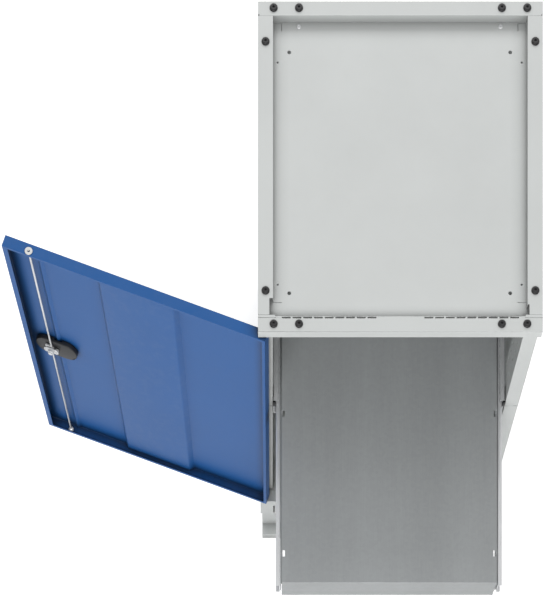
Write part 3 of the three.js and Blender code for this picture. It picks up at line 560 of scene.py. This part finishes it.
# ------------------------------------------------------------------ carcass
CARCASS = [
    "side_panel_left", "side_panel_right", "side_rail_left", "side_rail_right", "top_rail_front",
    "top_rail_rear", "roof_panel", "back_panel", "floor_panel", "base_front_rail", "kick_panel",
    "plinth_rear", "plinth_side_left", "plinth_side_right", "base_pan",
]


class CABINET_OT_carcass(bpy.types.Operator):
    """Folded and coated sheets of the carcass, top frame and plinth, with rounded bends"""

    bl_idname = "cabinet.carcass"
    bl_label = "Carcass sheets"

    def execute(self, context):
        for node in CARCASS:
            rounded_node(node, "cabinet", "grey_paint", sizes().bend)
        return {"FINISHED"}


# ------------------------------------------------------------------ fasteners
SOCKET_DEPTH = 1.9 * MM
SCREW_TURN = 0.7  # radians by which each frame screw's socket is turned from the last one's
PIN_HEAD = 2 * MM
PIN_EDGE = 0.3 * MM


def button_head(radius, rise, socket, depth, centre, axis=UP, lift=(1, 0, 0), shank=0.0):
    """A button-head screw: domed rim, flat land and a hexagon socket, with or without a shank."""
    bm = bmesh.new()
    dome = [(radius, 0), (radius, rise * 0.22)]
    for step in range(1, 6):
        turn = step / 6 * pi / 2
        dome.append((radius * (0.62 + 0.38 * cos(turn)), rise * (0.22 + 0.78 * sin(turn))))
    land = [(socket * 1.28, rise), (socket * 1.16, rise * 0.97)]
    below = [(0, -shank), (radius * 0.36, -shank), (radius * 0.36, 0)] if shank else [(0, 0)]
    ring(bm, [*below, *dome, *land], Vector((0, 0, 0)), 48, axis, lift)
    mouth = [e for e in bm.edges if e.is_boundary]
    bmesh.ops.holes_fill(bm, edges=mouth, sides=0)
    bm.faces.ensure_lookup_table()
    cap = max(bm.faces, key=lambda face: len(face.verts))
    bmesh.ops.inset_region(bm, faces=[cap], thickness=0.02 * MM, depth=0)
    corner = 2 * pi / 6  # angle between two corners of the hexagon
    up = Vector(axis)
    sideways = Vector(lift)
    other = up.cross(sideways)
    for vert in cap.verts:
        flat = vert.co - up * vert.co.dot(up)
        angle = atan2(flat.dot(other), flat.dot(sideways))
        reach = socket * cos(corner / 2) / cos((angle + pi) % corner - corner / 2)
        vert.co = flat.normalized() * reach + up * vert.co.dot(up)
    pulled = bmesh.ops.extrude_face_region(bm, geom=[cap])
    floor = [g for g in pulled["geom"] if isinstance(g, bmesh.types.BMVert)]
    if cap.is_valid:
        bmesh.ops.delete(bm, geom=[cap], context="FACES_ONLY")
    bmesh.ops.translate(bm, verts=floor, vec=-up * depth)
    bmesh.ops.recalc_face_normals(bm, faces=bm.faces)
    bmesh.ops.translate(bm, verts=bm.verts, vec=centre)
    return bm


class CABINET_OT_screws(bpy.types.Operator):
    """Black button-head screws of the top frame"""

    bl_idname = "cabinet.screws"
    bl_label = "Frame screws"

    def execute(self, context):
        names = sorted(n for n in NODES if n.startswith("top_screw_"))
        for count, node in enumerate(names):
            low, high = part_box(node)
            radius = (high.x - low.x) / 2
            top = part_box("top_rail_rear")[1].z
            centre = Vector(((low.x + high.x) / 2, (low.y + high.y) / 2, top))
            spun = Vector((cos(count * SCREW_TURN), sin(count * SCREW_TURN), 0))
            bm = button_head(
                radius, sizes().screw_rise, sizes().socket, SOCKET_DEPTH, centre, UP, spun, top - low.z)
            publish(bm, f"{node}_head", "cabinet", "black_plastic", [node])
        return {"FINISHED"}


class CABINET_OT_rivets(bpy.types.Operator):
    """Blind rivets that hold the roof panel"""

    bl_idname = "cabinet.rivets"
    bl_label = "Roof rivets"

    def execute(self, context):
        for side in ("left", "right"):
            node = f"roof_rivet_{side}"
            low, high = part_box(node)
            reach = (high.x - low.x) / 2
            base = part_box("roof_panel")[1].z
            rise = high.z - base
            profile = [(0, low.z - base), (reach * 0.5, low.z - base), (reach * 0.5, 0), (reach, 0)]
            for step in range(1, 6):
                turn = step / 5 * pi / 2
                profile.append((reach * (0.45 + 0.55 * cos(turn)), rise * sin(turn)))
            profile += [(reach * 0.34, rise * 0.9), (reach * 0.3, rise * 0.35), (0, rise * 0.3)]
            centre = Vector(((low.x + high.x) / 2, (low.y + high.y) / 2, base))
            publish(turned(profile, centre, 36), f"{node}_head", "cabinet", "zinc", [node])
        return {"FINISHED"}


class CABINET_OT_hinge(bpy.types.Operator):
    """Pivot pins of the door and the washer it stands on"""

    bl_idname = "cabinet.hinge"
    bl_label = "Hinge pins"

    def execute(self, context):
        for node, flip in (("hinge_pin_lower", 1), ("hinge_pin_upper", -1)):
            low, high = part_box(node)
            head = (high.x - low.x) / 2
            length = high.z - low.z
            pin = head * 0.6
            profile = [
                (0, 0), (head - PIN_EDGE, 0), (head, PIN_EDGE), (head, PIN_HEAD - PIN_EDGE),
                (head - PIN_EDGE, PIN_HEAD), (pin, PIN_HEAD), (pin, length - MM),
                (pin - 0.35 * MM, length - 0.3 * MM), (pin - MM, length), (0, length),
            ]
            base = low.z if flip > 0 else high.z
            placed = [(r, h * flip) for r, h in profile]
            bm = turned(placed, (PIVOT.x, PIVOT.y, base), 36)
            publish(bm, f"{node}_turned", "cabinet", "zinc", [node])
        low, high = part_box("hinge_washer")
        outer = (high.x - low.x) / 2
        inner = (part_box("hinge_pin_lower")[1].x - PIVOT.x) * 0.6 + 0.2 * MM
        thick = high.z - low.z
        edge = 0.2 * MM
        profile = [
            (inner, 0), (outer - edge, 0), (outer, edge), (outer, thick - edge), (outer - edge, thick),
            (inner, thick), (inner, 0),
        ]
        bm = turned(profile, (PIVOT.x, PIVOT.y, low.z), 36)
        publish(bm, "hinge_washer_ring", "cabinet", "white_plastic", ["hinge_washer"])
        return {"FINISHED"}


# ------------------------------------------------------------------ runners and tray
RUNNER_SHEET = 1.2 * MM
RUNNER_BEND = 0.8 * MM
LIP_TURN = 1.6 * MM  # how far from the lip's end its turned edge begins
CAGE_STRIP = 0.8 * MM
BALLS_IN_ROW = 12
TRAY_SCREW_PLACES = (0.03, 0.19, 0.35, 0.47)  # metres from the tray's front
TRAY_SCREW_DROP = 26 * MM


def small_screw(centre, axis, lift, radius=3.4 * MM):
    """A small pan-head screw with a round recess, seated on a face."""
    rise = radius * 0.45
    profile = [
        (0, -rise), (radius * 0.5, -rise), (radius * 0.5, 0), (radius, 0), (radius * 0.97, rise * 0.4)]
    for step in range(1, 5):
        turn = step / 5 * pi / 2
        profile.append((radius * (0.4 + 0.57 * cos(turn)), rise * (0.4 + 0.6 * sin(turn))))
    profile += [(radius * 0.3, rise), (radius * 0.24, rise * 0.3), (0, rise * 0.2)]
    return turned(profile, centre, 24, Vector(axis), lift)


class CABINET_OT_runners(bpy.types.Operator):
    """Ball runners of the tray: rolled outer and inner members, packers, cages and stops"""

    bl_idname = "cabinet.runners"
    bl_label = "Ball runners"

    def execute(self, context):
        for side, s in (("right", 1), ("left", -1)):
            self.outer_member(side, s)
            self.inner_member(side, s)
            self.cage(side, s)
            self.stop(side)
            rounded_node(f"runner_bracket_{side}", "cabinet", "galvanised", 0.35 * MM)
        return {"FINISHED"}

    def outer_member(self, side, s):
        node = f"runner_fixed_{side}"
        low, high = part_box(node)
        sheet = RUNNER_SHEET
        web = high.x if s > 0 else low.x
        tip = low.x if s > 0 else high.x
        middle = (low.z + high.z) / 2
        half = (high.z - low.z) / 2
        web -= s * sheet / 2
        lines = [
            (tip, middle + half - sheet * 1.5), (tip + s * LIP_TURN, middle + half - sheet / 2),
            (web, middle + half - sheet / 2), (web, middle - half + sheet / 2),
            (tip + s * LIP_TURN, middle - half + sheet / 2), (tip, middle - half + sheet * 1.5),
        ]
        bm = self.member(lines, low.y, high.y, low, high)
        publish(bm, f"{node}_rolled", "cabinet", "zinc", [node])

    def inner_member(self, side, s):
        node = f"runner_inner_{side}"
        low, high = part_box(node)
        sheet = RUNNER_SHEET
        web = low.x if s > 0 else high.x
        tip = high.x if s > 0 else low.x
        web += s * sheet / 2
        top, foot = high.z - sheet / 2, low.z + sheet / 2
        lines = [
            (tip, top - sheet), (tip - s * LIP_TURN, top), (web, top), (web, foot),
            (tip - s * LIP_TURN, foot), (tip, foot + sheet),
        ]
        bm = self.member(lines, low.y + 5 * MM, high.y, low, high)
        publish(bm, f"{node}_rolled", "tray", "zinc", [node])

    def member(self, lines, front, back, low, high):
        """A rolled channel, centred in its node's box once its sheet has been given a thickness."""
        bm = folded(lines, front, back, RUNNER_SHEET, RUNNER_BEND)
        xs = [v.co.x for v in bm.verts]
        zs = [v.co.z for v in bm.verts]
        across = (low.x + high.x - min(xs) - max(xs)) / 2
        up = (low.z + high.z - min(zs) - max(zs)) / 2
        bmesh.ops.translate(bm, verts=bm.verts, vec=(across, 0, up))
        return bm

    def cage(self, side, s):
        node = f"ball_cage_{side}"
        low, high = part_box(node)
        inner_low, inner_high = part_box(f"runner_inner_{side}")
        ball = sizes().ball
        strip = CAGE_STRIP
        back = high.x - strip if s > 0 else low.x
        bm = block((back, low.y, low.z + ball), (back + strip, high.y, high.z - ball))
        round_edges(bm, 0.25 * MM)
        middle = (inner_low.x + inner_high.x) / 2 + s * MM
        for z in (low.z + ball, high.z - ball):
            near, far = min(middle, back), max(middle, back + strip)
            shelf = block((near, low.y, z - strip / 2), (far, high.y, z + strip / 2))
            round_edges(shelf, 0.2 * MM)
            add(bm, shelf)
            for place in range(BALLS_IN_ROW):
                y = low.y + (high.y - low.y) * (place + 0.5) / BALLS_IN_ROW
                one = bmesh.new()
                bmesh.ops.create_uvsphere(
                    one, u_segments=16, v_segments=10, radius=ball,
                    matrix=Matrix.Translation((middle, y, z)))
                add(bm, one)
        publish(bm, f"{node}_balls", "ball_cages", "zinc", [node])

    def stop(self, side):
        eased_node(
            f"runner_stop_{side}", "moulded", "cabinet", "black_plastic", 0.8 * MM,
            longer_than=1 * MM, segments=3)


class CABINET_OT_tray(bpy.types.Operator):
    """Pull-out tray, folded from galvanised sheet, and the screws that hold it to its runners"""

    bl_idname = "cabinet.tray"
    bl_label = "Tray"

    def execute(self, context):
        rounded_node("tray", "tray", "galvanised", 0.5 * MM)
        low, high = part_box("tray")
        screws = bmesh.new()
        for s in (-1, 1):
            x = (low.x if s < 0 else high.x) - s * 1.5 * MM
            for inset in TRAY_SCREW_PLACES:
                centre = Vector((x, low.y + inset, high.z - TRAY_SCREW_DROP))
                add(screws, small_screw(centre, (-s, 0, 0), (0, 1, 0)))
        publish(screws, "tray_screws", "tray", "zinc")
        return {"FINISHED"}


# ------------------------------------------------------------------ door and lock
DOOR_SHEET = 1.2 * MM
RIB_SHEET = 1.0 * MM
SPINDLE_HOLE = 4.6 * MM


class CABINET_OT_door(bpy.types.Operator):
    """Door skin with its return lips, pressed stiffener and lock bead"""

    bl_idname = "cabinet.door"
    bl_label = "Door"

    def execute(self, context):
        rounded_node("door_panel", "door", "blue_paint", 0.5 * MM)
        skin = shut_box("door_panel")[0].y + DOOR_SHEET
        self.pressing("door_stiffener", skin, 8 * MM, 8 * MM, 1.6 * MM)
        self.pressing("lock_strip", skin, 4.6 * MM, 4 * MM, 1.5 * MM)
        return {"FINISHED"}

    def pressing(self, node, skin, slope, foot, bend):
        """A pressed rib whose sloping sides run out into the door's skin."""
        low, high = shut_box(node)
        rise = high.y - RIB_SHEET
        inset = foot / 2
        sunk = skin - RIB_SHEET - 0.05 * MM
        line = [
            (low.x, sunk), (low.x + inset, sunk), (low.x + inset + slope, rise),
            (high.x - inset - slope, rise), (high.x - inset, sunk), (high.x, sunk),
        ]
        bm = folded(line, low.z, high.z, RIB_SHEET, bend, axis="Z")
        ys = [v.co.y for v in bm.verts]
        bmesh.ops.translate(bm, verts=bm.verts, vec=(0, high.y - max(ys), 0))
        publish(bm, f"{node}_pressed", "door", "blue_paint", [node], door=True)


class CABINET_OT_lock(bpy.types.Operator):
    """Two-rod lock: case, cam, nut, rods with cranked ends, bushes, knob and key barrel"""

    bl_idname = "cabinet.lock"
    bl_label = "Lock"

    def execute(self, context):
        eased_node(
            "lock_case", "moulded", "door", "black_plastic", 1.6 * MM,
            sharper_than=50, longer_than=2 * MM, segments=4)
        for node, width in (("lock_cam", 0.4), ("lock_nut", 0.5), ("lock_spindle", 0.4)):
            eased_node(node, "zinc", "lock", "zinc", width * MM, longer_than=0.8 * MM)
        for node, body in (("rod_upper", "upper_rod"), ("rod_lower", "lower_rod")):
            eased_node(node, "steel", body, "zinc", 0.4 * MM, sharper_than=50, longer_than=0.8 * MM)
        self.outside()
        for node, slot in (("rod_bush_upper", "white_plastic"), ("rod_bush_lower", "zinc")):
            eased_node(node, "guide", "door", slot, 0.3 * MM, sharper_than=50, longer_than=0.8 * MM)
        return {"FINISHED"}

    def outside(self):
        """The rose, the knob and the key barrel, on the door's outer face."""
        centre = SHUT @ SPINDLE
        out = Vector((0, -1, 0))
        low, high = shut_box("lock_rose")
        reach = (high.x - low.x) / 2
        thick = high.y - low.y
        rose = [(SPINDLE_HOLE, 0), (reach, 0), (reach, thick * 0.45)]
        for step in range(1, 5):
            turn = step / 4 * pi / 2
            rose.append((reach - (1 - cos(turn)) * thick * 0.9, thick * (0.45 + 0.55 * sin(turn))))
        rose += [(SPINDLE_HOLE, thick), (SPINDLE_HOLE, 0)]
        bm = turned(rose, (centre.x, high.y, centre.z), 48, out, (1, 0, 0))
        publish(bm, "lock_rose_turned", "door", "black_plastic", ["lock_rose"], door=True)
        eased_node(
            "lock_knob", "moulded", "lock", "black_plastic", 1.0 * MM,
            sharper_than=50, longer_than=2 * MM, segments=3)
        eased_node(
            "key_barrel", "face", "key", "zinc", 0.3 * MM, sharper_than=50, longer_than=0.7 * MM)


# ------------------------------------------------------------------ stage
CAMERA_PLACE = Vector((-0.2254, -1.929, 3.623))
VIEW_TILT = 0.6016  # how far the line of sight leans back for each metre down
LENS = 113.4  # millimetres, on a sensor 36 mm wide
FLOOR_GLOW = 0.6
FILL_LIGHT = 0.28  # how strongly the white surroundings light the cabinet


def area_light(name, place, aim, width, height, power):
    data = bpy.data.lights.new(name, "AREA")
    data.shape = "RECTANGLE"
    data.size = width
    data.size_y = height
    data.energy = power
    lamp = bpy.data.objects.new(name, data)
    lamp.location = place
    lamp.rotation_mode = "QUATERNION"
    lamp.rotation_quaternion = (Vector(aim) - Vector(place)).to_track_quat("-Z", "Y")
    bpy.context.scene.collection.objects.link(lamp)


def seen_directly(nodes):
    """One for rays from the camera, off a mirror or through glass, and nothing for the rest."""
    seen = nodes.add("ShaderNodeLightPath").outputs
    rays = nodes.math("ADD", seen["Is Camera Ray"], seen["Is Glossy Ray"])
    return nodes.math("ADD", rays, seen["Is Transmission Ray"], True)


class CABINET_OT_stage(bpy.types.Operator):
    """Pale floor, soft lights, white surroundings and the camera"""

    bl_idname = "cabinet.stage"
    bl_label = "Stage"

    def execute(self, context):
        self.camera()
        self.lights()
        self.floor()
        self.surroundings()
        context.scene.view_settings.view_transform = "Standard"
        return {"FINISHED"}

    def camera(self):
        """The view keeps level edges level: its lines of sight lean back instead of its picture plane."""
        collection = bpy.context.scene.collection
        rig = bpy.data.objects.new("camera_rig", None)
        data = bpy.data.cameras.new("camera")
        camera = bpy.data.objects.new("camera", data)
        collection.objects.link(rig)
        collection.objects.link(camera)
        back = Vector((0, -VIEW_TILT, 1)).normalized()
        place = CAMERA_PLACE
        camera.parent = rig
        camera.matrix_parent_inverse = Matrix((
            (1, 0, back.x, place.x),
            (0, 1, back.y, place.y),
            (0, 0, back.z, place.z),
            (0, 0, 0, 1),
        ))
        data.sensor_width = 36
        data.lens = LENS
        data.clip_end = 50
        bpy.context.scene.camera = camera

    def lights(self):
        area_light("rear_softbox", (0.0, 2.6, 2.6), (0, 0.1, 0.7), 3.4, 1.6, 52)
        area_light("front_softbox", (-0.2, -2.6, 3.4), (0, -0.3, 0.5), 2.4, 1.6, 86)
        area_light("low_softbox", (-0.4, -3.6, 0.9), (0, -0.2, 0.5), 3.0, 1.0, 22)

    def floor(self):
        bm = bmesh.new()
        bmesh.ops.create_grid(bm, x_segments=1, y_segments=1, size=12)
        bmesh.ops.translate(bm, verts=bm.verts, vec=(0, 0, -0.3 * MM))
        mesh = bpy.data.meshes.new("studio_floor")
        bm.to_mesh(mesh)
        bm.free()
        floor = bpy.data.objects.new("studio_floor", mesh)
        bpy.context.scene.collection.objects.link(floor)
        material = bpy.data.materials.new("studio_floor")
        material.use_nodes = True
        nodes = Nodes(material.node_tree)
        shader = nodes.add("ShaderNodeBsdfPrincipled")
        shader.inputs["Base Color"].default_value = (0.82, 0.82, 0.82, 1)
        shader.inputs["Roughness"].default_value = 0.9
        shader.inputs["Specular IOR Level"].default_value = 0.0
        shader.inputs["Emission Color"].default_value = (1, 1, 1, 1)
        glow = nodes.math("MULTIPLY", seen_directly(nodes), FLOOR_GLOW)
        nodes.join(glow, shader.inputs["Emission Strength"])
        nodes.join(shader.outputs["BSDF"], nodes.add("ShaderNodeOutputMaterial").inputs["Surface"])
        mesh.materials.append(material)

    def surroundings(self):
        world = bpy.data.worlds.new("studio")
        world.use_nodes = True
        bpy.context.scene.world = world
        nodes = Nodes(world.node_tree)
        background = nodes.add("ShaderNodeBackground")
        background.inputs["Color"].default_value = (1, 1, 1, 1)
        strength = nodes.spread(seen_directly(nodes), 0, 1, FILL_LIGHT, 1.0)
        nodes.join(strength, background.inputs["Strength"])
        nodes.join(background.outputs["Background"], nodes.add("ShaderNodeOutputWorld").inputs["Surface"])


# ------------------------------------------------------------------ panel and registration
STEPS = [
    CABINET_OT_finishes, CABINET_OT_carcass, CABINET_OT_screws, CABINET_OT_rivets, CABINET_OT_hinge,
    CABINET_OT_runners, CABINET_OT_tray, CABINET_OT_door, CABINET_OT_lock, CABINET_OT_stage,
]


class CABINET_PT_panel(bpy.types.Panel):
    """Lists the cabinet's settings and pieces"""

    bl_idname = "CABINET_PT_panel"
    bl_label = "Cabinet"
    bl_space_type = "VIEW_3D"
    bl_region_type = "UI"
    bl_category = "Cabinet"

    def draw(self, context):
        for group in (context.scene.cabinet_finish, context.scene.cabinet_sizes):
            box = self.layout.box()
            for key in group.__annotations__:
                box.prop(group, key)
        for step in STEPS:
            self.layout.operator(step.bl_idname)


CLASSES = [CabinetFinish, CabinetSizes, *STEPS, CABINET_PT_panel]


def register():
    for cls in CLASSES:
        bpy.utils.register_class(cls)
    bpy.types.Scene.cabinet_finish = bpy.props.PointerProperty(type=CabinetFinish)
    bpy.types.Scene.cabinet_sizes = bpy.props.PointerProperty(type=CabinetSizes)


def unregister():
    del bpy.types.Scene.cabinet_sizes
    del bpy.types.Scene.cabinet_finish
    for cls in reversed(CLASSES):
        bpy.utils.unregister_class(cls)


def main():
    register()
    for step in STEPS:
        group, name = step.bl_idname.split(".")
        getattr(getattr(bpy.ops, group), name)()


if __name__ == "__main__":
    main()
